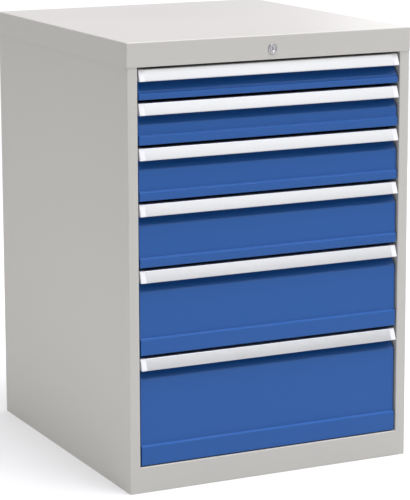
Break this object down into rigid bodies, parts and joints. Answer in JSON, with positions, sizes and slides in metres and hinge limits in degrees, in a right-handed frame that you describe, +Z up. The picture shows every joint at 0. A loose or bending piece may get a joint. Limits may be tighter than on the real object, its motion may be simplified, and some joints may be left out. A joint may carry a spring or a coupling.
{
  "type": "drawer cabinet",
  "caption": "Free-standing sheet-steel cabinet with stacked full-extension drawers of growing height, full-width grip handles and a central lock in the top rim.",
  "frame": {"origin": "middle of the footprint, on the floor", "axes": "+Z up, +Y to the back, drawers open towards -Y, +X to the right seen from the front"},
  "size_m": [0.715, 0.783, 1.02],
  "materials": {
    "casing_paint": "light grey powder coat with a fine orange-peel texture",
    "front_paint": "mid-blue powder coat, satin",
    "tray_paint": "light grey powder coat",
    "handle_aluminium": "satin anodised extrusion",
    "cap_plastic": "light grey moulded plastic",
    "zinc_steel": "zinc-plated steel",
    "chrome": "polished chrome plate",
    "guide_plastic": "black polyamide",
    "rubber": "black rubber"
  },
  "bodies": {
    "cabinet": {"side_panel_left": "casing_paint", "side_panel_right": "casing_paint", "back_panel": "casing_paint", "back_rivets": "zinc_steel", "plinth_front": "casing_paint", "plinth_rear": "casing_paint", "floor_plate": "casing_paint", "front_lintel": "casing_paint", "top_cover": "casing_paint", "cover_stiffeners": "casing_paint", "cover_screws": "zinc_steel", "slotted_uprights": "zinc_steel", "cabinet_rails": "zinc_steel", "rail_buffers": "rubber", "lock_housing": "chrome", "lock_nut": "zinc_steel", "shaft_bearing": "guide_plastic", "bar_guides": "guide_plastic"},
    "lock": {"lock_plug": "chrome", "lock_shaft": "zinc_steel", "lock_crank": "zinc_steel"},
    "lock_bar": {"lock_bar": "zinc_steel", "bar_teeth": "zinc_steel"},
    "drawer_1": {"tray_1": "tray_paint", "front_1": "front_paint", "handle_1": "handle_aluminium", "handle_caps_1": "cap_plastic", "drawer_rails_1": "zinc_steel"},
    "runners_1": {"middle_rails_1": "zinc_steel"},
    "drawer_2": {"tray_2": "tray_paint", "front_2": "front_paint", "handle_2": "handle_aluminium", "handle_caps_2": "cap_plastic", "drawer_rails_2": "zinc_steel"},
    "runners_2": {"middle_rails_2": "zinc_steel"},
    "drawer_3": {"tray_3": "tray_paint", "front_3": "front_paint", "handle_3": "handle_aluminium", "handle_caps_3": "cap_plastic", "drawer_rails_3": "zinc_steel"},
    "runners_3": {"middle_rails_3": "zinc_steel"},
    "drawer_4": {"tray_4": "tray_paint", "front_4": "front_paint", "handle_4": "handle_aluminium", "handle_caps_4": "cap_plastic", "drawer_rails_4": "zinc_steel"},
    "runners_4": {"middle_rails_4": "zinc_steel"},
    "drawer_5": {"tray_5": "tray_paint", "front_5": "front_paint", "handle_5": "handle_aluminium", "handle_caps_5": "cap_plastic", "drawer_rails_5": "zinc_steel"},
    "runners_5": {"middle_rails_5": "zinc_steel"},
    "drawer_6": {"tray_6": "tray_paint", "front_6": "front_paint", "handle_6": "handle_aluminium", "handle_caps_6": "cap_plastic", "drawer_rails_6": "zinc_steel"},
    "runners_6": {"middle_rails_6": "zinc_steel"}
  },
  "joints": [
    {"name": "drawer_1_slide", "type": "slide", "parent": "cabinet", "child": "drawer_1", "axis": [0, -1, 0], "range_m": [0, 0.64]},
    {"name": "runners_1_slide", "type": "slide", "parent": "cabinet", "child": "runners_1", "axis": [0, -1, 0], "range_m": [0, 0.32]},
    {"name": "drawer_2_slide", "type": "slide", "parent": "cabinet", "child": "drawer_2", "axis": [0, -1, 0], "range_m": [0, 0.64]},
    {"name": "runners_2_slide", "type": "slide", "parent": "cabinet", "child": "runners_2", "axis": [0, -1, 0], "range_m": [0, 0.32]},
    {"name": "drawer_3_slide", "type": "slide", "parent": "cabinet", "child": "drawer_3", "axis": [0, -1, 0], "range_m": [0, 0.64]},
    {"name": "runners_3_slide", "type": "slide", "parent": "cabinet", "child": "runners_3", "axis": [0, -1, 0], "range_m": [0, 0.32]},
    {"name": "drawer_4_slide", "type": "slide", "parent": "cabinet", "child": "drawer_4", "axis": [0, -1, 0], "range_m": [0, 0.64]},
    {"name": "runners_4_slide", "type": "slide", "parent": "cabinet", "child": "runners_4", "axis": [0, -1, 0], "range_m": [0, 0.32]},
    {"name": "drawer_5_slide", "type": "slide", "parent": "cabinet", "child": "drawer_5", "axis": [0, -1, 0], "range_m": [0, 0.64]},
    {"name": "runners_5_slide", "type": "slide", "parent": "cabinet", "child": "runners_5", "axis": [0, -1, 0], "range_m": [0, 0.32]},
    {"name": "drawer_6_slide", "type": "slide", "parent": "cabinet", "child": "drawer_6", "axis": [0, -1, 0], "range_m": [0, 0.64]},
    {"name": "runners_6_slide", "type": "slide", "parent": "cabinet", "child": "runners_6", "axis": [0, -1, 0], "range_m": [0, 0.32]},
    {"name": "lock_turn", "type": "hinge", "parent": "cabinet", "child": "lock", "pos_m": [0, -0.3885, 0.989], "axis": [0, -1, 0], "range_deg": [0, 90]},
    {"name": "lock_bar_lift", "type": "slide", "parent": "cabinet", "child": "lock_bar", "axis": [0, 0, 1], "range_m": [0, 0.01202]}
  ],
  "couplings": [
    {"joint": "runners_1_slide", "follows": "drawer_1_slide", "ratio": 0.5},
    {"joint": "runners_2_slide", "follows": "drawer_2_slide", "ratio": 0.5},
    {"joint": "runners_3_slide", "follows": "drawer_3_slide", "ratio": 0.5},
    {"joint": "runners_4_slide", "follows": "drawer_4_slide", "ratio": 0.5},
    {"joint": "runners_5_slide", "follows": "drawer_5_slide", "ratio": 0.5},
    {"joint": "runners_6_slide", "follows": "drawer_6_slide", "ratio": 0.5},
    {"joint": "lock_turn", "follows": "lock_bar_lift", "rad_per_m": 130.67}
  ]
}
